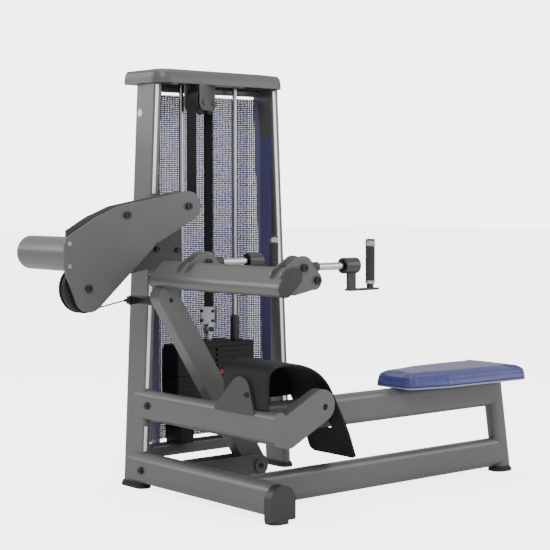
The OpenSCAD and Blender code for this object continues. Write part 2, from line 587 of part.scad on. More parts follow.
module end_shoe() color([0.1, 0.1, 0.1]) {
  along_y(-924, -888) union() {
    translate([fb_x, 82]) circle(59);
    translate([fb_x - 59, 14]) square([118, 68]);
  }
  translate([fb_x, -888, 0]) linear_extrude(14) rrect(84, 72, 30);
  along_y(-888, -878) translate([fb_x, fb_z]) rrect(fb_w - 2 * wall - 1, tube_h - 2 * wall - 1, 36);
}
post_x0 = 1408; post_lean = 9.5;
module post_axis() { translate([post_x0, seat_y, 0]) rotate([0, -post_lean, 0]) children(); }
module post_shape() intersection() {
  post_axis() translate([0, 0, -40]) linear_extrude(480) rrect(80, tube_w, 26);
  translate([1200, seat_y - 100, 20]) cube([400, 200, 384]);
}
module rear_post() color("dimgray") difference() {
  post_shape();
  intersection() {
    post_axis() translate([0, 0, -40]) linear_extrude(480) rrect(80 - 2 * wall, tube_w - 2 * wall, 26 - wall);
    translate([1200, seat_y - 100, 0]) cube([400, 200, 395]);
  }
}
module seat_rail() color("dimgray") difference() {
  along_x(10, 1400) translate([seat_y, fb_z]) tube2d(tube_w, tube_h, 30.5, wall);
  floor_beam_shape();
  post_shape();
  translate([1395, seat_y - 100, 0]) cube([100, 200, 200]);
}
module bench_tube() color("dimgray") difference() {
  along_x(30, 1380) translate([seat_y, bench_z]) tube2d(tube_w, tube_h, 30.5, wall);
  upper_beam_shape();
  post_shape();
  translate([1345, seat_y - 100, 250]) cube([100, 200, 200]);
}
// ---- foot support ------------------------------------------------------------------
leg_a = [64, 320]; leg_b = [226, 402];
module foot_leg() color("gray") difference() {
  along_y(-884, -838) union() {
    translate(leg_a) rotate(atan2(leg_b[1] - leg_a[1], leg_b[0] - leg_a[0])) stadium(norm(leg_b - leg_a), 60);
    translate([ub_x, ub_z]) rrect(tube_w, tube_h, 30.5);
  }
  translate([240, -885, 396]) rotate([-90, 0, 0]) cylinder(r = 12, h = 14);
  rod_y(240, 396, -900, -800, 7);
}
module foot_lug() color([0.3, 0.3, 0.3]) difference() {
  // upright plate on the beam, holding the near end wall of the foot plate
  along_x(-8, 4) hull() {
    translate([-772, 350]) square([234, 36]);
    translate([-692, 452]) circle(58, $fn = 32);
  }
  upper_beam_shape();
  rod_x(-730, 446, -20, 20, 7);
}
// foot plate: end wall, rounded crown and long tread, one sheet in X-Z
foot_out = [[6, 398], [6, 510], [10, 530], [22, 546], [44, 556], [78, 561], [130, 558], [185, 547], [228, 531], [264, 509], [290, 485], [311, 459], [346, 396], [405, 286], [446, 176]];
foot_in = [[437, 172], [396, 282], [337, 392], [303, 454], [283, 479], [259, 502], [225, 523], [183, 539], [129, 550], [78, 553], [47, 548], [28, 540], [18, 526], [14, 509], [14, 398]];
// closed far side, its outline inside the thickness of the sheet
foot_side = [[10, 402], [10, 510], [14, 528], [25, 543], [45, 552], [78, 557], [129, 554], [184, 543], [226, 527], [261, 506], [286, 482], [307, 456], [337, 402]];
module foot_plate() color([0.08, 0.08, 0.08]) difference() {
  union() {
    along_y(seat_y - 130, seat_y + 130) polygon(concat(foot_out, foot_in));
    along_y(seat_y + 121, seat_y + 128) polygon(foot_side);
  }
  // slot for the bench tube
  translate([-50, seat_y - tube_w / 2 - 3, 281]) cube([520, tube_w + 6, bench_z + tube_h / 2 + 3 - 281]);
}
// ---- seat -----------------------------------------------------------------------------
seat_x1 = 1396; seat_x0 = seat_x1 - seat_l;
module seat2d(g = 0) hull() {
  for (s = [-1, 1]) {
    translate([seat_x1 - 34, seat_y + s * (seat_w / 2 - 34)]) circle(34 + g, $fn = 48);
    translate([seat_x0 + 46, seat_y + s * (seat_w / 2 - 46 - 52)]) circle(46 + g, $fn = 48);
    translate([seat_x0 + 200, seat_y + s * (seat_w / 2 - 46 - 18)]) circle(46 + g, $fn = 48);
  }
}
module seat_board() color([0.75, 0.75, 0.78]) difference() {
  translate([0, 0, seat_z0 - 6]) linear_extrude(6) seat2d(-8);
  for (x = [860, 1250], s = [-1, 1]) rod_z(x, seat_y + s * 18, 300, 500, 3.5);
}
module seat_pad() color("darkslateblue") translate([0, 0, seat_z0]) linear_extrude(seat_t) seat2d(0);

left_upright();
right_upright();
upright_trims();
rubber_feet();
top_cap();
tower_crossmembers();
mesh_panel();
guide_rods();
stack_pedestal();
stack_buffers();
resting_plates();
lifted_plates();
top_plate();
selector_stem();
selector_pin();
guide_bushings();
belt_clamp();
clamp_bolts();
stack_strand();
lift_belt();
top_pulley_bracket();
top_pulley_right();
top_pulley_left();
boom_near_cheek();
boom_far_cheek();
boom_web();
boom_tube();
boom_mount_plate();
frame_bolts();
boom_screws();
boom_small_pulley();
boom_large_pulley();
lever_cable();
cable_arm();
swing_lever();
crossbar();
crossbar_caps();
pivot_bracket();
pivot_shaft();
near_rod_bracket();
far_rod_bracket();
bracket_bolts();
handle_rods();
rod_collars();
near_handle();
far_handle();
near_grip();
far_grip();
floor_beam();
upper_beam();
beam_saddles();
end_shoe();
seat_rail();
bench_tube();
rear_post();
foot_leg();
foot_lug();
foot_plate();
seat_board();
seat_pad();
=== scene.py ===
"""Looks of the seated row machine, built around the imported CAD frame."""
import json
import math
import bpy
import bmesh
import numpy as np
from mathutils import Vector, Matrix


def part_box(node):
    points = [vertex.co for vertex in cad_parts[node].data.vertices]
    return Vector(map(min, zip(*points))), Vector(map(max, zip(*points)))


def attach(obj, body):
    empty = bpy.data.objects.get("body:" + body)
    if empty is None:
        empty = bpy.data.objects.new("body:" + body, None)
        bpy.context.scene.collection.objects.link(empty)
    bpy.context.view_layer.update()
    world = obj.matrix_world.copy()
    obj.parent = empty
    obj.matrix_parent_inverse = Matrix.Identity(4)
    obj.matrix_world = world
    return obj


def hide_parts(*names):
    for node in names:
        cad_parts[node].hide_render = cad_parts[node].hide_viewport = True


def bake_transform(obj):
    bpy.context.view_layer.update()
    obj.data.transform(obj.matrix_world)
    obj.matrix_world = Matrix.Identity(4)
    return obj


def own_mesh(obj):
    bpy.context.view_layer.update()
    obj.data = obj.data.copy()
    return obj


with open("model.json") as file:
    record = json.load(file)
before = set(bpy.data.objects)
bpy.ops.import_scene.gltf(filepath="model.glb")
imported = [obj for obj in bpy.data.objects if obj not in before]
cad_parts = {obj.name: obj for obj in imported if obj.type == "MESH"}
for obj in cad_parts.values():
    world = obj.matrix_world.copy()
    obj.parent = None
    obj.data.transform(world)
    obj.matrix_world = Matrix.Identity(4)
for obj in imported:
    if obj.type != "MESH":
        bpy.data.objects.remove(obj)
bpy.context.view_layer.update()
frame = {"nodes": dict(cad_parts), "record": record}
NODES = frame["nodes"]
MM = 0.001


# ---------------------------------------------------------------- materials
def link(nt, a, b):
    nt.links.new(a, b)


def finish(name, base, rough=0.5, metallic=0.0, var=0.06, vscale=9.0, bump=0.12, bscale=700.0, bdist=0.0003,
           coat=0.0, spec=0.5, edge=0.0014, wear=0.0, wear_col=(0.55, 0.55, 0.55), kind="noise", rib=None, rvar=0.06, sheen=0.0, stretch=None):
    m = bpy.data.materials.new(name)
    m.use_nodes = True
    nt = m.node_tree
    N = nt.nodes
    b = N["Principled BSDF"]
    b.inputs["Metallic"].default_value = metallic
    b.inputs["Specular IOR Level"].default_value = spec
    b.inputs["Coat Weight"].default_value = coat
    b.inputs["Coat Roughness"].default_value = 0.12
    if sheen:
        b.inputs["Sheen Weight"].default_value = sheen
        b.inputs["Sheen Roughness"].default_value = 0.4
    tc = N.new("ShaderNodeTexCoord")
    mp = N.new("ShaderNodeMapping")
    link(nt, tc.outputs["Object"], mp.inputs["Vector"])
    if stretch:
        mp.inputs["Scale"].default_value = stretch
    big = N.new("ShaderNodeTexNoise")
    big.inputs["Scale"].default_value = vscale
    big.inputs["Detail"].default_value = 5.0
    link(nt, tc.outputs["Object"], big.inputs["Vector"])
    mix = N.new("ShaderNodeMix")
    mix.data_type = "RGBA"
    mix.inputs["A"].default_value = (*[max(0.0, c * (1 - var)) for c in base], 1)
    mix.inputs["B"].default_value = (*[min(1.0, c * (1 + var)) for c in base], 1)
    link(nt, big.outputs["Fac"], mix.inputs["Factor"])
    colour = mix.outputs["Result"]
    rr = N.new("ShaderNodeMapRange")
    rr.inputs["To Min"].default_value = max(0.02, rough - rvar)
    rr.inputs["To Max"].default_value = min(1.0, rough + rvar)
    if kind == "leather":
        fine = N.new("ShaderNodeTexVoronoi")
        fine.feature = "DISTANCE_TO_EDGE"
        fine.inputs["Scale"].default_value = bscale
        fine_out = fine.outputs["Distance"]
    elif kind == "grain":
        fine = N.new("ShaderNodeTexVoronoi")
        fine.inputs["Scale"].default_value = bscale
        fine_out = fine.outputs["Distance"]
    else:
        fine = N.new("ShaderNodeTexNoise")
        fine.inputs["Scale"].default_value = bscale
        fine.inputs["Detail"].default_value = 3.0
        fine_out = fine.outputs["Fac"]
    link(nt, mp.outputs["Vector"], fine.inputs["Vector"])
    link(nt, fine_out if kind == "noise" else big.outputs["Fac"], rr.inputs["Value"])
    link(nt, rr.outputs["Result"], b.inputs["Roughness"])
    bm = N.new("ShaderNodeBump")
    bm.inputs["Strength"].default_value = bump
    bm.inputs["Distance"].default_value = bdist
    height = fine_out
    if rib:
        wave = N.new("ShaderNodeTexWave")
        wave.bands_direction = rib[0]
        wave.inputs["Scale"].default_value = 0.31416 / rib[1]
        link(nt, tc.outputs["Object"], wave.inputs["Vector"])
        add = N.new("ShaderNodeMath")
        add.operation = "MULTIPLY_ADD"
        add.inputs[1].default_value = rib[2]
        link(nt, wave.outputs["Fac"], add.inputs[0])
        link(nt, fine_out, add.inputs[2])
        height = add.outputs[0]
        # painted highlight: the rib crests are coloured lighter than the grooves, following the same wave as the
        # bump
        rib_crest_highlight = N.new("ShaderNodeMix")
        rib_crest_highlight.data_type = "RGBA"
        rib_crest_highlight.inputs["B"].default_value = (*[min(1.0, c * 1.8 + 0.003) for c in base], 1)
        link(nt, wave.outputs["Fac"], rib_crest_highlight.inputs["Factor"])
        link(nt, colour, rib_crest_highlight.inputs["A"])
        colour = rib_crest_highlight.outputs["Result"]
    link(nt, height, bm.inputs["Height"])
    if edge:
        bev = N.new("ShaderNodeBevel")
        bev.samples = 4
        bev.inputs["Radius"].default_value = edge
        link(nt, bev.outputs["Normal"], bm.inputs["Normal"])
        if wear:
            geo = N.new("ShaderNodeNewGeometry")
            dot = N.new("ShaderNodeVectorMath")
            dot.operation = "DOT_PRODUCT"
            link(nt, bev.outputs["Normal"], dot.inputs[0])
            link(nt, geo.outputs["Normal"], dot.inputs[1])
            mr = N.new("ShaderNodeMapRange")
            mr.inputs["From Min"].default_value = 0.995
            mr.inputs["From Max"].default_value = 0.86
            mr.inputs["To Min"].default_value = 0.0
            mr.inputs["To Max"].default_value = wear
            link(nt, dot.outputs["Value"], mr.inputs["Value"])
            spot = N.new("ShaderNodeTexNoise")
            spot.inputs["Scale"].default_value = 60.0
            link(nt, tc.outputs["Object"], spot.inputs["Vector"])
            mul = N.new("ShaderNodeMath")
            mul.operation = "MULTIPLY"
            link(nt, mr.outputs["Result"], mul.inputs[0])
            link(nt, spot.outputs["Fac"], mul.inputs[1])
            wm = N.new("ShaderNodeMix")
            wm.data_type = "RGBA"
            wm.inputs["B"].default_value = (*wear_col, 1)
            link(nt, mul.outputs[0], wm.inputs["Factor"])
            link(nt, colour, wm.inputs["A"])
            colour = wm.outputs["Result"]
    link(nt, colour, b.inputs["Base Color"])
    link(nt, bm.outputs["Normal"], b.inputs["Normal"])
    return m


M = {
    "frame_grey": finish("powder_grey", (0.080, 0.080, 0.078), 0.42, var=0.08, bump=0.12, bscale=900, coat=0.22, wear=0.35, wear_col=(0.20, 0.20, 0.195)),
    "dark_grey": finish("powder_dark", (0.020, 0.020, 0.020), 0.42, bump=0.10, bscale=900, coat=0.15, wear=0.3, wear_col=(0.2, 0.2, 0.2)),
    "cap_grey": finish("cap_plastic", (0.070, 0.072, 0.070), 0.40, bump=0.10, bscale=1100, bdist=0.0002, kind="grain", coat=0.10, wear=0.15, wear_col=(0.17, 0.17, 0.17)),
    "trim_white": finish("trim_white", (0.90, 0.90, 0.91), 0.25, var=0.02, bump=0.02, bscale=300, coat=0.4, edge=0.0008),
    "rubber_black": finish("rubber_black", (0.012, 0.012, 0.012), 0.72, var=0.15, bump=0.25, bscale=650, kind="grain", wear=0.2, wear_col=(0.06, 0.06, 0.06)),
    "panel_blue": finish("panel_blue", (0.070, 0.068, 0.155), 0.45, var=0.05, bump=0.06, bscale=900, coat=0.15, edge=0.0),
    "chrome": finish("chrome", (0.52, 0.52, 0.54), 0.20, metallic=1.0, var=0.03, bump=0.03, bscale=500, bdist=0.0001, stretch=(0.15, 1, 1), edge=0.0008, rvar=0.04),
    "stack_black": finish("stack_black", (0.006, 0.006, 0.0065), 0.55, var=0.2, bump=0.18, bscale=420, bdist=0.0004, spec=0.3, wear=0.3, wear_col=(0.05, 0.05, 0.05)),
    "zinc_steel": finish("zinc_steel", (0.50, 0.50, 0.53), 0.30, metallic=1.0, var=0.08, bump=0.10, bscale=420, stretch=(1, 1, 0.1), wear=0.2, wear_col=(0.8, 0.8, 0.8)),
    "black_plastic": finish("black_plastic", (0.016, 0.016, 0.016), 0.42, var=0.1, bump=0.12, bscale=1300, bdist=0.0002, kind="grain", wear=0.15, wear_col=(0.06, 0.06, 0.06)),
    "bolt_black": finish("bolt_black", (0.016, 0.016, 0.016), 0.33, metallic=0.35, var=0.15, bump=0.08, bscale=900, wear=0.6, wear_col=(0.2, 0.2, 0.2)),
    "belt_black": finish("belt_black", (0.003, 0.003, 0.004), 0.60, var=0.1, bump=0.3, bscale=900, rib=("Z", 0.006, 2.0), edge=0.0006, spec=0.3),
    "cable_black": finish("cable_black", (0.010, 0.010, 0.010), 0.35, var=0.1, bump=0.3, bscale=500, rib=("X", 0.004, 1.5), edge=0.0, coat=0.2),
    "handle_black": finish("handle_black", (0.018, 0.018, 0.018), 0.38, var=0.08, bump=0.10, bscale=900, coat=0.15, wear=0.35, wear_col=(0.15, 0.15, 0.15)),
    "grip_rubber": finish("grip_rubber", (0.016, 0.016, 0.016), 0.66, var=0.12, bump=0.22, bscale=900, kind="grain", edge=0.0005),
    "foot_black": finish("foot_black", (0.011, 0.011, 0.0113), 0.60, var=0.10, bump=0.22, bscale=650, bdist=0.0005, kind="grain", spec=0.25, wear=0.15, wear_col=(0.03, 0.03, 0.03)),
    "board": finish("board", (0.26, 0.27, 0.36), 0.50, var=0.05, bump=0.15, bscale=300, kind="grain", wear=0.2, wear_col=(0.6, 0.6, 0.66)),
    "seat_blue": finish("seat_vinyl", (0.036, 0.040, 0.165), 0.42, var=0.05, vscale=16, bump=0.28, bscale=420, bdist=0.0005, kind="leather", sheen=0.12, coat=0.05, edge=0.0),
    "seat_thread": finish("seat_thread", (0.07, 0.08, 0.26), 0.7, var=0.2, bump=0.5, bscale=1400, bdist=0.0003, edge=0.0),
    "red_cap": finish("pin_cap", (0.30, 0.012, 0.012), 0.35, var=0.06, bump=0.1, bscale=900, kind="grain", coat=0.2),
    "badge_grey": finish("badge_grey", (0.55, 0.55, 0.55), 0.30, metallic=0.4, var=0.05, bump=0.08, bscale=500, edge=0.0008),
}
slots = {s["node"]: s["material_slot"] for s in frame["record"]["subparts"]}


def paint(obj, key):
    obj.data.materials.clear()
    obj.data.materials.append(M[key])


def smooth_cad(o):
    """Joins the split corners of an imported node for shading; the node's own vertices stay."""
    w = o.modifiers.new("weld", "WELD")
    w.merge_threshold = 0.00001
    for p in o.data.polygons:
        p.use_smooth = True


for name, o in NODES.items():
    paint(o, slots[name])
for n in ("selector_pin",):
    paint(NODES[n], "red_cap")
for n in ("top_pulley_bracket", "pivot_shaft"):
    paint(NODES[n], "frame_grey")


# ---------------------------------------------------------------- builders
def new(name, bm, key, body=None, smooth=True, angle=35.0):
    me = bpy.data.meshes.new(name)
    bmesh.ops.recalc_face_normals(bm, faces=bm.faces)
    bm.to_mesh(me)
    bm.free()
    o = bpy.data.objects.new(name, me)
    bpy.context.scene.collection.objects.link(o)
    if smooth:
        for p in me.polygons:
            p.use_smooth = True
        me.set_sharp_from_angle(angle=math.radians(angle))
    paint(o, key)
    if body:
        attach(o, body)
    return o


def lathe(name, origin, axis, profile, key, body, seg=56, angle=35.0):
    """Turned piece: profile is [(radius, distance along axis)] in mm from origin (mm), closed onto the axis at both ends."""
    bm = bmesh.new()
    z = Vector(axis).normalized()
    x = z.orthogonal().normalized()
    y = z.cross(x)
    o = Vector(origin)
    rings = []
    for r, h in profile:
        if r < 1e-6:
            rings.append([bm.verts.new((o + z * h) * MM)])
        else:
            rings.append([bm.verts.new((o + z * h + (x * math.cos(2 * math.pi * i / seg) + y * math.sin(2 * math.pi * i / seg)) * r) * MM) for i in range(seg)])
    for a, b in zip(rings, rings[1:]):
        if len(a) == 1 and len(b) == 1:
            continue
        for i in range(seg):
            j = (i + 1) % seg
            if len(a) == 1:
                bm.faces.new((a[0], b[i], b[j]))
            elif len(b) == 1:
                bm.faces.new((a[i], b[0], a[j]))
            else:
                bm.faces.new((a[i], b[i], b[j], a[j]))
    if len(rings[0]) > 1 and profile[0] == profile[-1]:
        bmesh.ops.remove_doubles(bm, verts=bm.verts, dist=1e-7)
    return new(name, bm, key, body, angle=angle)


def tube_path(name, pts, r, key, body, seg=10, ripple=0.0, closed=False, twist=None):
    """Round cord along a list of points in mm."""
    P = [Vector(p) for p in pts]
    n = len(P)
    bm = bmesh.new()
    rings = []
    up = None
    for i, p in enumerate(P):
        a = P[(i - 1) % n] if (closed or i > 0) else P[i]
        b = P[(i + 1) % n] if (closed or i < n - 1) else P[i]
        t = (b - a).normalized()
        if up is None:
            up = t.orthogonal().normalized()
        up = (up - t * up.dot(t)).normalized()
        s = t.cross(up)
        rr = r * (1 + ripple * (1 if i % 2 else -1))
        rings.append([bm.verts.new((p + (up * math.cos(2 * math.pi * k / seg) + s * math.sin(2 * math.pi * k / seg)) * rr) * MM) for k in range(seg)])
    m = n if closed else n - 1
    for i in range(m):
        A, B = rings[i], rings[(i + 1) % n]
        for k in range(seg):
            l = (k + 1) % seg
            bm.faces.new((A[k], B[k], B[l], A[l]))
    if not closed:
        bm.faces.new(rings[0])
        bm.faces.new(list(reversed(rings[-1])))
    return new(name, bm, key, body, angle=60)


# ---------------------------------------------------------------- perforated panel
def perforated(name, p0, u, v, nu, nv, du, dv, thick, open_share=0.29):
    """Closed sheet with a diamond hole in every cell. p0 is a corner, u and v are unit directions, all in mm."""
    p0, u, v = np.array(p0, float), np.array(u, float), np.array(v, float)
    nrm = np.cross(u, v) * thick
    nn = (nu + 1) * (nv + 1)
    ii, jj = np.meshgrid(np.arange(nu + 1), np.arange(nv + 1), indexing="ij")
    corner = np.stack([ii.ravel() * du, jj.ravel() * dv], 1)
    ci, cj = np.meshgrid(np.arange(nu), np.arange(nv), indexing="ij")
    ci, cj = ci.ravel(), cj.ravel()
    cx, cy = (ci + 0.5) * du, (cj + 0.5) * dv
    hx, hy = du * open_share / 2, dv * open_share / 2
    inner = np.stack([np.stack([cx + sx * hx, cy + sy * hy], 1) for sx, sy in ((-1, -1), (1, -1), (1, 1), (-1, 1))], 1).reshape(-1, 2)
    flat = np.concatenate([corner, inner])
    front = p0 + flat[:, :1] * u + flat[:, 1:] * v
    verts = np.concatenate([front, front + nrm]) * MM
    off = len(flat)
    k = ci * (nv + 1) + cj
    c = [k, k + (nv + 1), k + (nv + 1) + 1, k + 1]
    base = nn + 4 * np.arange(len(ci))
    faces = []
    for a in range(4):
        b = (a + 1) % 4
        q = np.stack([c[a], c[b], base + b, base + a], 1)
        faces.append(q[:, ::-1])
        faces.append(q + off)
        faces.append(np.stack([base + a, base + b, base + b + off, base + a + off], 1)[:, ::-1])
    e = np.arange(nu) * (nv + 1)
    faces.append(np.stack([e, e + nv + 1, e + nv + 1 + off, e + off], 1))
    e2 = e + nv
    faces.append(np.stack([e2, e2 + off, e2 + nv + 1 + off, e2 + nv + 1], 1))
    e = np.arange(nv)
    faces.append(np.stack([e, e + off, e + 1 + off, e + 1], 1))
    e3 = e + nu * (nv + 1)
    faces.append(np.stack([e3, e3 + 1, e3 + 1 + off, e3 + off], 1))
    F = np.concatenate(faces)
    me = bpy.data.meshes.new(name)
    me.from_pydata(verts.tolist(), [], F.tolist())
    me.update()
    bm = bmesh.new()
    bm.from_mesh(me)
    bmesh.ops.recalc_face_normals(bm, faces=bm.faces)
    bm.to_mesh(me)
    bm.free()
    o = bpy.data.objects.new(name, me)
    bpy.context.scene.collection.objects.link(o)
    paint(o, "panel_blue")
    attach(o, "frame")
    return o


mlo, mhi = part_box("mesh_panel")
mz0, mz1 = mlo.z / MM, mhi.z / MM
mid_x = 380.0
pitch = 8.0
rows = int((mz1 - mz0) // pitch)
dv = (mz1 - mz0) / rows
cols = int(260 // pitch)
panel = perforated("panel_middle_left", (120, 68, mz0), (1, 0, 0), (0, 0, 1), cols, rows, 260.0 / cols, dv, 1.6)
perforated("panel_middle_right", (380, 68, mz0), (1, 0, 0), (0, 0, 1), cols, rows, 260.0 / cols, dv, 1.6)
fold = math.hypot(32, 46)
for s_, nm in ((-1, "left"), (1, "right")):
    d = np.array((s_ * 32, -46, 0)) / fold
    base = np.array((mid_x + s_ * 260, 67, mz0), float)
    nf = int(fold // pitch)
    if s_ > 0:
        perforated("panel_fold_" + nm, base, d, (0, 0, 1), nf, rows, fold / nf, dv, 1.6)
    else:
        perforated("panel_fold_" + nm, base + d * fold, -d, (0, 0, 1), nf, rows, fold / nf, dv, 1.6)
    ns = int(72 // pitch)
    base2 = np.array((mid_x + s_ * 292, 21, mz0), float)
    if s_ > 0:
        perforated("panel_side_" + nm, base2, (0, -1, 0), (0, 0, 1), ns, rows, 72.0 / ns, dv, 1.4)
    else:
        perforated("panel_side_" + nm, base2 + np.array((0, -72.0, 0)), (0, 1, 0), (0, 0, 1), ns, rows, 72.0 / ns, dv, 1.4)
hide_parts("mesh_panel")


# ---------------------------------------------------------------- seat pad
slo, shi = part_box("seat_pad")
sx0, sx1, sz0, sz1 = slo.x / MM, shi.x / MM, slo.z / MM, shi.z / MM
syc = (slo.y + shi.y) / 2 / MM
shw = (shi.y - slo.y) / 2 / MM


def seat_outline(inset, n=20):
    """Outline of the pad in mm: hull of six corner circles, as the CAD draws it, moved inwards by inset."""
    pts = []
    for s in (-1, 1):
        for cx, cy, r in ((sx1 - 34, shw - 34, 34), (sx0 + 46, shw - 46 - 52, 46), (sx0 + 200, shw - 46 - 18, 46)):
            for k in range(48):
                a = 2 * math.pi * k / 48
                pts.append((cx + (r - inset) * math.cos(a), syc + s * cy + (r - inset) * math.sin(a)))
    pts = sorted(set((round(x, 4), round(y, 4)) for x, y in pts))

    def half(seq):
        h = []
        for p in seq:
            while len(h) >= 2 and (h[-1][0] - h[-2][0]) * (p[1] - h[-2][1]) - (h[-1][1] - h[-2][1]) * (p[0] - h[-2][0]) <= 0:
                h.pop()
            h.append(p)
        return h[:-1]

    return half(pts) + half(reversed(pts))


def resample(loop, step):
    P = [Vector((x, y, 0)) for x, y in loop]
    out = []
    for i, a in enumerate(P):
        b = P[(i + 1) % len(P)]
        m = max(1, int(round((b - a).length / step)))
        for k in range(m):
            q = a.lerp(b, k / m)
            out.append((q.x, q.y))
    return out


def pad_layers(name, layers, key):
    """Closed stack of outlines: layers is [(inset, z)] from the bottom up."""
    bm = bmesh.new()
    base = resample(seat_outline(0), 12)
    c = Vector((sum(p[0] for p in base) / len(base), sum(p[1] for p in base) / len(base)))
    nb = len(base)
    rings = []
    for inset, z in layers:
        ring = []
        for i, (x, y) in enumerate(base):
            t = Vector((base[(i + 1) % nb][0] - base[i - 1][0], base[(i + 1) % nb][1] - base[i - 1][1])).normalized()
            nrm = Vector((t.y, -t.x))
            ring.append(bm.verts.new(Vector((x - nrm.x * inset, y - nrm.y * inset, z)) * MM))
        rings.append(ring)
    for a, b in zip(rings, rings[1:]):
        for i in range(nb):
            j = (i + 1) % nb
            bm.faces.new((a[i], a[j], b[j], b[i]))
    bm.faces.new(list(reversed(rings[0])))
    bm.faces.new(rings[-1])
    return new(name, bm, key, None)


h = sz1 - sz0
pad = pad_layers("seat_cushion", [(9, sz0 + 0.5), (6.5, sz0 + 5), (6, sz0 + 12), (6, sz1 - 22), (9, sz1 - 13), (17, sz1 - 8)], "seat_blue")
bpy.context.view_layer.objects.active = pad


def apply_mods(o):
    dg = bpy.context.evaluated_depsgraph_get()
    me = bpy.data.meshes.new_from_object(o.evaluated_get(dg), depsgraph=dg)
    old = o.data
    o.modifiers.clear()
    o.data = me
    bpy.data.meshes.remove(old)


rm = pad.modifiers.new("remesh", "REMESH")
rm.mode = "VOXEL"
rm.voxel_size = 0.006
apply_mods(pad)
rest = np.array([v.co for v in pad.data.vertices], float)
grp = pad.vertex_groups.new(name="pin")
low = [i for i, c in enumerate(rest) if c[2] < (sz0 + 4) * MM]
grp.add([int(i) for i in low], 1.0, "REPLACE")
cl = pad.modifiers.new("cloth", "CLOTH")
cl.settings.quality = 6
cl.settings.mass = 0.3
cl.settings.tension_stiffness = 18
cl.settings.compression_stiffness = 18
cl.settings.shear_stiffness = 6
cl.settings.bending_stiffness = 1.2
cl.settings.use_pressure = True
cl.settings.uniform_pressure_force = 4.0
cl.settings.vertex_group_mass = "pin"
cl.settings.effector_weights.gravity = 0.0
cl.point_cache.frame_start = 1
cl.point_cache.frame_end = 20
sc = bpy.context.scene
for f in range(1, 21):
    sc.frame_set(f)
apply_mods(pad)
now = np.array([v.co for v in pad.data.vertices], float)
if len(now) == len(rest):
    d = now - rest
    L = np.linalg.norm(d, axis=1)
    cap = 0.010
    k = np.where(L > cap, cap / np.maximum(L, 1e-9), 1.0)
    now = rest + d * k[:, None]
sc.frame_set(1)
# crowned top, held inside the space of the CAD pad
cx, cyy = (sx0 + sx1) / 2 * MM, syc * MM
u = np.clip(1 - ((now[:, 0] - cx) / ((sx1 - sx0) / 2 * MM)) ** 2, 0, 1)
w = np.clip(1 - ((now[:, 1] - cyy) / (shw * MM)) ** 2, 0, 1)
up = np.clip((now[:, 2] - (sz0 + 20) * MM) / (20 * MM), 0, 1)
now[:, 2] += up * 0.006 * np.sqrt(u * w)
now[:, 0] = np.clip(now[:, 0], (sx0 - 2) * MM, (sx1 + 2) * MM)
now[:, 1] = np.clip(now[:, 1], (syc - shw - 2) * MM, (syc + shw + 2) * MM)
now[:, 2] = np.clip(now[:, 2], sz0 * MM, (sz1 + 6) * MM)
pad.data.vertices.foreach_set("co", now.astype(np.float32).ravel())
pad.data.update()
sm = pad.modifiers.new("smooth", "SMOOTH")
sm.iterations = 4
sm.factor = 0.5
sub = pad.modifiers.new("subdivision", "SUBSURF")
sub.levels = 1
sub.render_levels = 1
apply_mods(pad)
for p in pad.data.polygons:
    p.use_smooth = True
paint(pad, "seat_blue")
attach(pad, "frame")
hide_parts("seat_pad")

# seam cord round the pad, laid on the surface that the simulation left
from mathutils.bvhtree import BVHTree


def seam(name, z, r, inset_guess, key, sink=0.6):
    bvh = BVHTree.FromObject(pad, bpy.context.evaluated_depsgraph_get())
    base = resample(seat_outline(0), 5)
    nb = len(base)
    pts = []
    for i, (x, y) in enumerate(base):
        t = Vector((base[(i + 1) % nb][0] - base[i - 1][0], base[(i + 1) % nb][1] - base[i - 1][1])).normalized()
        nrm = Vector((t.y, -t.x, 0))
        start = Vector((x, y, z)) + nrm * 40
        hit = bvh.ray_cast(start * MM, -nrm)
        if hit[0] is not None:
            pts.append(hit[0] / MM + nrm * (r * 0.35 - sink * 0.3))
    return tube_path(name, pts, r, key, "frame", seg=8, closed=True)


bpy.context.view_layer.update()
seam("seat_seam_upper", sz1 - 15, 1.3, 9, "seat_blue")
seam("seat_seam_lower", sz0 + 5, 1.6, 6, "seat_blue")


# ---------------------------------------------------------------- foot plate
flo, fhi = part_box("foot_plate")
fy0, fy1 = flo.y / MM, fhi.y / MM
fyc, fhw = (fy0 + fy1) / 2, (fy1 - fy0) / 2
line = [(6, 398), (6, 450), (6, 510), (10, 530), (22, 546), (44, 556), (78, 561), (130, 558), (185, 547), (228, 531), (264, 509), (290, 485), (311, 459), (329, 427), (346, 396), (375, 342), (405, 286), (446, 176)]
LP = [Vector((x, 0, z)) for x, z in line]
dist = [0.0]
for a, b in zip(LP, LP[1:]):
    dist.append(dist[-1] + (b - a).length)
total = dist[-1]


def line_at(t):
    t = min(max(t, 0.0), total)
    for i in range(len(dist) - 1):
        if t <= dist[i + 1] or i == len(dist) - 2:
            return LP[i].lerp(LP[i + 1], (t - dist[i]) / (dist[i + 1] - dist[i]))


NS = 110
ring = [line_at(total * i / NS) for i in range(NS + 1)]
for _ in range(10):  # ease the corners of the drawn line
    ring = [ring[0]] + [(ring[i - 1] + ring[i] * 2 + ring[i + 1]) / 4 for i in range(1, NS)] + [ring[-1]]
ys = sorted(set([round(v, 3) for v in list(np.linspace(-fhw, -34, 16)) + list(np.linspace(-34, 34, 9)) + list(np.linspace(34, fhw, 16))]))
bm = bmesh.new()
grid = []
for i, p in enumerate(ring):
    t = (ring[min(NS, i + 1)] - ring[max(0, i - 1)]).normalized()
    nrm = Vector((-t.z, 0, t.x))
    row = []
    left = (NS - i) / NS * total
    for y in ys:
        yy = y
        if left < 22:  # rounded corners of the free lower edge
            lim = fhw - (22 - math.sqrt(max(0.0, 22 ** 2 - (22 - left) ** 2)))
            yy = max(-lim, min(lim, y))
        e = abs(yy) / fhw
        edge = fhw - abs(yy)
        drop = 5.0 * (1 - edge / 10) ** 2 if edge < 10 else 0.0
        row.append(bm.verts.new((p + Vector((0, fyc + yy, 0)) - nrm * (drop + 0.3 + 1.2 * e * e)) * MM))
    grid.append(row)
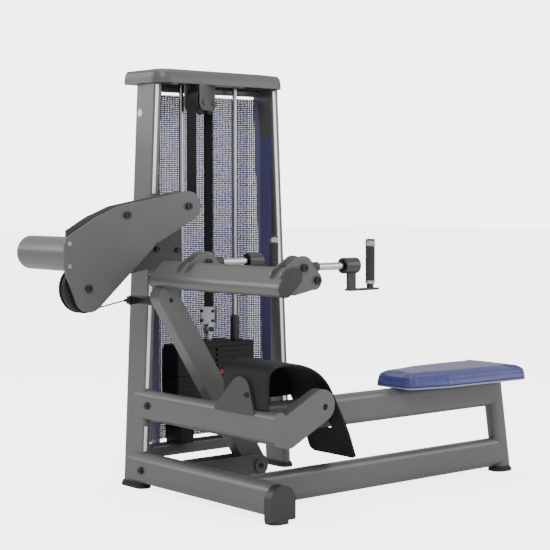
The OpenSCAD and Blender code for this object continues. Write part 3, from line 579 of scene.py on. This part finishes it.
for i in range(NS):
    for j in range(len(ys) - 1):
        yc_, zc_ = (ys[j] + ys[j + 1]) / 2, (ring[i].z + ring[i + 1].z) / 2
        if abs(yc_) < 34 and 281 < zc_ < 411:
            continue  # slot for the bench tube
        if (grid[i + 1][j].co - grid[i + 1][j + 1].co).length < 1e-6 and (grid[i][j].co - grid[i][j + 1].co).length < 1e-6:
            continue
        bm.faces.new((grid[i][j], grid[i + 1][j], grid[i + 1][j + 1], grid[i][j + 1]))
bmesh.ops.remove_doubles(bm, verts=bm.verts, dist=1e-6)
bmesh.ops.delete(bm, geom=[v for v in bm.verts if not v.link_faces], context="VERTS")
me = bpy.data.meshes.new("foot_shell")
bm.to_mesh(me)
bm.free()
foot = bpy.data.objects.new("foot_shell", me)
bpy.context.scene.collection.objects.link(foot)
so = foot.modifiers.new("solid", "SOLIDIFY")
so.thickness = 0.0065
so.offset = 0.0
so.use_even_offset = True
apply_mods(foot)
bm = bmesh.new()
bm.from_mesh(foot.data)
bmesh.ops.recalc_face_normals(bm, faces=bm.faces)
bm.to_mesh(foot.data)
bm.free()
for p in foot.data.polygons:
    p.use_smooth = True
foot.data.set_sharp_from_angle(angle=math.radians(40))
paint(foot, "foot_black")
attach(foot, "frame")
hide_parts("foot_plate")
side = [(10, 402), (10, 510), (14, 528), (25, 543), (45, 552), (78, 557), (129, 554), (184, 543), (226, 527), (261, 506), (286, 482), (307, 456), (337, 402)]
bm = bmesh.new()
flats = []
for y in (fy1 - 9, fy1 - 2):
    flats.append([bm.verts.new(Vector((x, y, z)) * MM) for x, z in side])
bm.faces.new(flats[0])
bm.faces.new(list(reversed(flats[1])))
for i in range(len(side)):
    j = (i + 1) % len(side)
    bm.faces.new((flats[0][i], flats[0][j], flats[1][j], flats[1][i]))
new("foot_side_wall", bm, "foot_black", "frame", smooth=False)


# ---------------------------------------------------------------- grips
def grip(name, node, body):
    lo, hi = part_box(node)
    x, y = (lo.x + hi.x) / 2 / MM, (lo.y + hi.y) / 2 / MM
    z0, z1 = lo.z / MM, hi.z / MM
    prof = [(9.4, z0 + 12.2), (16.6, z0 + 12.2), (17.4, z0 + 13.2)]
    z = z0 + 14.0
    while z < z1 - 25:
        prof += [(16.9, z), (17.5, z + 0.7), (17.5, z + 2.6), (16.9, z + 3.3)]
        z += 4.0
    prof += [(17.4, z1 - 21), (16.6, z1 - 20.2), (9.4, z1 - 20.2), (9.4, z0 + 12.2)]
    o = lathe(name, (x, y, 0), (0, 0, 1), prof, "grip_rubber", body, seg=56, angle=50)
    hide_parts(node)
    for tag, a, b in (("lower", z0 + 0.3, z0 + 12), ("upper", z1 - 20, z1 - 0.3)):
        m = (a + b) / 2
        ring_p = [(9.3, a), (17.2, a), (18.3, a + 1.0), (18.3, m - 1.6), (17.5, m - 0.8), (17.5, m + 0.8), (18.3, m + 1.6), (18.3, b - 1.0), (17.2, b), (9.3, b), (9.3, a)]
        lathe(name + "_ring_" + tag, (x, y, 0), (0, 0, 1), ring_p, "chrome", body, angle=40)
    return o, x, y, z0, z1


for nm in ("near", "far"):
    g, gx, gy, gz0, gz1 = grip(nm + "_grip_sleeve", nm + "_grip", nm + "_grip")
    lathe(nm + "_grip_button", (gx, gy, 0), (0, 0, 1), [(0, gz1 + 3.0), (15.5, gz1 + 3.0), (17.4, gz1 + 4.0), (16.6, gz1 + 5.6), (9, gz1 + 6.8), (0, gz1 + 7.0)], "black_plastic", nm + "_handle")


def cap_screw(name, c, axis, r, h_, body, key="bolt_black"):
    """Socket cap screw head with a washer, standing on a face at c (mm) and pointing along axis."""
    prof = [(0, -0.5), (r * 1.35, -0.5), (r * 1.35, 1.6), (r * 1.02, 1.8), (r, 2.2), (r, h_ - 0.8), (r * 0.93, h_), (r * 0.55, h_), (r * 0.52, h_ * 0.45), (0, h_ * 0.45)]
    return lathe(name, c, axis, prof, key, body, seg=40, angle=30)


plo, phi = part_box("pivot_shaft")
cap_screw("pivot_screw_near", (365, plo.y / MM, 92), (0, -1, 0), 8, 8, "frame")
cap_screw("pivot_screw_far", (365, phi.y / MM, 92), (0, 1, 0), 8, 8, "frame")
llo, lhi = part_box("foot_leg")
cap_screw("foot_leg_screw", (240, llo.y / MM + 12, 396), (0, -1, 0), 7.5, 7, "frame")
ulo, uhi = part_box("foot_lug")
cap_screw("foot_lug_screw", (ulo.x / MM, -730, 446), (-1, 0, 0), 8, 8, "frame")

# ---------------------------------------------------------------- badge, plain
blo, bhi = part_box("left_upright")
lathe("plain_badge", (55.2, 31, 1503), (-math.cos(math.radians(2.6)), 0, math.sin(math.radians(2.6))), [(0, -0.5), (17, -0.5), (17, 1.2), (15.4, 2.4), (12.4, 2.4), (11.6, 1.7), (0, 1.7)], "badge_grey", "frame")

# ---------------------------------------------------------------- belt strand and cable
tlo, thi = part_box("stack_strand")
belt_yaw = math.atan2(112.0, 170.0)


def belt_strip(name, origin, z0, z1, w, t, pitch, body):
    """Flat belt with cross ribs, standing between two heights."""
    o = Vector(origin)
    ex = Vector((math.cos(belt_yaw), math.sin(belt_yaw), 0))
    ey = Vector((-math.sin(belt_yaw), math.cos(belt_yaw), 0))
    bm = bmesh.new()
    n = int((z1 - z0) / pitch)
    rings = []
    for i in range(n * 2 + 1):
        z = z0 + (z1 - z0) * i / (n * 2)
        tt = t if i % 2 else t * 0.72
        pts = [(-tt / 2, -w / 2 + 1.2), (-tt / 2, w / 2 - 1.2), (0, w / 2), (tt / 2, w / 2 - 1.2), (tt / 2, -w / 2 + 1.2), (0, -w / 2)]
        rings.append([bm.verts.new((o + ex * a + ey * b_ + Vector((0, 0, z))) * MM) for a, b_ in pts])
    for A, B in zip(rings, rings[1:]):
        for k in range(6):
            l = (k + 1) % 6
            bm.faces.new((A[k], A[l], B[l], B[k]))
    bm.faces.new(rings[0])
    bm.faces.new(list(reversed(rings[-1])))
    return new(name, bm, "belt_black", body, smooth=False)


strand = belt_strip("stack_belt_strand", (369 - 1.5 * math.cos(belt_yaw), -8 - 1.5 * math.sin(belt_yaw), 0), tlo.z / MM, thi.z / MM, 40, 3, 5.0, "frame")
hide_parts("stack_strand")
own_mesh(strand)

# the coated cable, wrapped on the large wheel and running to the arm on the lever
Lc = Vector((-318, 0, 818))
arm = Vector((-66, 0, 763))
ca = math.atan2(arm.z - (Lc.z - 88), arm.x - Lc.x)
c0 = Vector((Lc.x + 89.2 * math.sin(ca), -120, Lc.z - 89.2 * math.cos(ca)))
c1 = Vector((arm.x - 60, -120, arm.z))
run = [c0.lerp(c1, i / 60) for i in range(61)]
cable = tube_path("lever_cable_run", run, 3.0, "cable_black", None, seg=14)
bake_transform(cable)
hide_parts("lever_cable")
wrap = [Vector((Lc.x + 89.2 * math.sin(ca + a), -120, Lc.z - 89.2 * math.cos(ca + a))) for a in [-i * math.radians(180) / 60 for i in range(61)]]
tube_path("cable_on_wheel", wrap, 3.0, "cable_black", "frame", seg=12)


# ---------------------------------------------------------------- weld beads
def bead(name, pts, body, r=2.6):
    P = [Vector(p) for p in pts]
    out = []
    for a, b in zip(P, P[1:]):
        m = max(1, int((b - a).length / 2.2))
        out += [a.lerp(b, k / m) for k in range(m)]
    out.append(P[-1])
    return tube_path(name, out, r, "frame_grey", body, seg=8, ripple=0.08)


def ring_x(x, yc, zc, w, h_, r, grow=0.6, n=14):
    """Rounded rectangle outline in Y-Z at x."""
    pts = []
    for (sy, sz, a0) in ((1, 1, 0), (-1, 1, 90), (-1, -1, 180), (1, -1, 270)):
        for k in range(n + 1):
            a = math.radians(a0 + 90 * k / n)
            pts.append((x, yc + sy * (w / 2 - r) + (r + grow) * math.cos(a), zc + sz * (h_ / 2 - r) + (r + grow) * math.sin(a)))
    return pts + [pts[0]]


bead("weld_rail", ring_x(47.5, -705, 83, 62, 122, 30.5), "frame")
bead("weld_bench", ring_x(51, -705, 320 + 25, 62, 122, 30.5), "frame")


# ---------------------------------------------------------------- floor, light, camera
bm = bmesh.new()
bmesh.ops.create_grid(bm, x_segments=2, y_segments=2, size=40.0)
me = bpy.data.meshes.new("floor")
bm.to_mesh(me)
bm.free()
floor = bpy.data.objects.new("floor", me)
floor.location = (0, 0, -0.0005)
bpy.context.scene.collection.objects.link(floor)
fm = bpy.data.materials.new("floor_pale")
fm.use_nodes = True
fb = fm.node_tree.nodes["Principled BSDF"]
fb.inputs["Base Color"].default_value = (0.86, 0.86, 0.86, 1)
fb.inputs["Roughness"].default_value = 0.75
fb.inputs["Emission Color"].default_value = (1, 1, 1, 1)
fpath = fm.node_tree.nodes.new("ShaderNodeLightPath")
fmul = fm.node_tree.nodes.new("ShaderNodeMath")
fmul.operation = "MULTIPLY"
fmul.inputs[1].default_value = 3.6
fm.node_tree.links.new(fpath.outputs["Is Camera Ray"], fmul.inputs[0])
fm.node_tree.links.new(fmul.outputs[0], fb.inputs["Emission Strength"])
me.materials.append(fm)

world = bpy.data.worlds.new("studio")
bpy.context.scene.world = world
world.use_nodes = True
world.node_tree.nodes["Background"].inputs["Color"].default_value = (1.0, 1.0, 1.0, 1)
world.node_tree.nodes["Background"].inputs["Strength"].default_value = 0.85
wn = world.node_tree
white = wn.nodes.new("ShaderNodeBackground")
white.inputs["Color"].default_value = (1, 1, 1, 1)
white.inputs["Strength"].default_value = 5.0
path = wn.nodes.new("ShaderNodeLightPath")
wmix = wn.nodes.new("ShaderNodeMixShader")
wn.links.new(path.outputs["Is Camera Ray"], wmix.inputs["Fac"])
wn.links.new(wn.nodes["Background"].outputs["Background"], wmix.inputs[1])
wn.links.new(white.outputs["Background"], wmix.inputs[2])
wn.links.new(wmix.outputs["Shader"], wn.nodes["World Output"].inputs["Surface"])


def area(name, loc, target, size, power, col=(1, 1, 1)):
    l = bpy.data.lights.new(name, "AREA")
    l.shape = "RECTANGLE"
    l.size, l.size_y = size
    l.energy = power
    l.color = col
    o = bpy.data.objects.new(name, l)
    o.location = loc
    o.rotation_mode = "QUATERNION"
    o.rotation_quaternion = (Vector(target) - Vector(loc)).to_track_quat("-Z", "Y")
    bpy.context.scene.collection.objects.link(o)
    return o


area("key", (-2.6, -4.4, 4.4), (0.3, -0.3, 0.8), (3.0, 3.0), 170)
area("fill", (4.5, -4.0, 2.6), (0.5, -0.4, 0.7), (3.0, 3.0), 90)
area("top", (0.4, 0.0, 5.0), (0.4, -0.3, 0.4), (4.0, 3.0), 85)
area("rim", (-3.0, 3.2, 3.0), (0.2, 0.0, 0.9), (2.5, 2.5), 80)

cam = bpy.data.cameras.new("camera")
cam.sensor_width = 36.0
cam.lens = 36.0 * 1466.0 / 550.0
cam.clip_start, cam.clip_end = 0.1, 200.0
co = bpy.data.objects.new("camera", cam)
co.location = (-3.3210, -4.8691, 1.1606)
az, el = math.radians(-39.8), math.radians(3.0)
back = Vector((math.sin(az) * math.cos(el), -math.cos(az) * math.cos(el), math.sin(el)))
co.rotation_mode = "QUATERNION"
co.rotation_quaternion = (-back).to_track_quat("-Z", "Y")
bpy.context.scene.collection.objects.link(co)
bpy.context.scene.camera = co

bpy.context.view_layer.update()
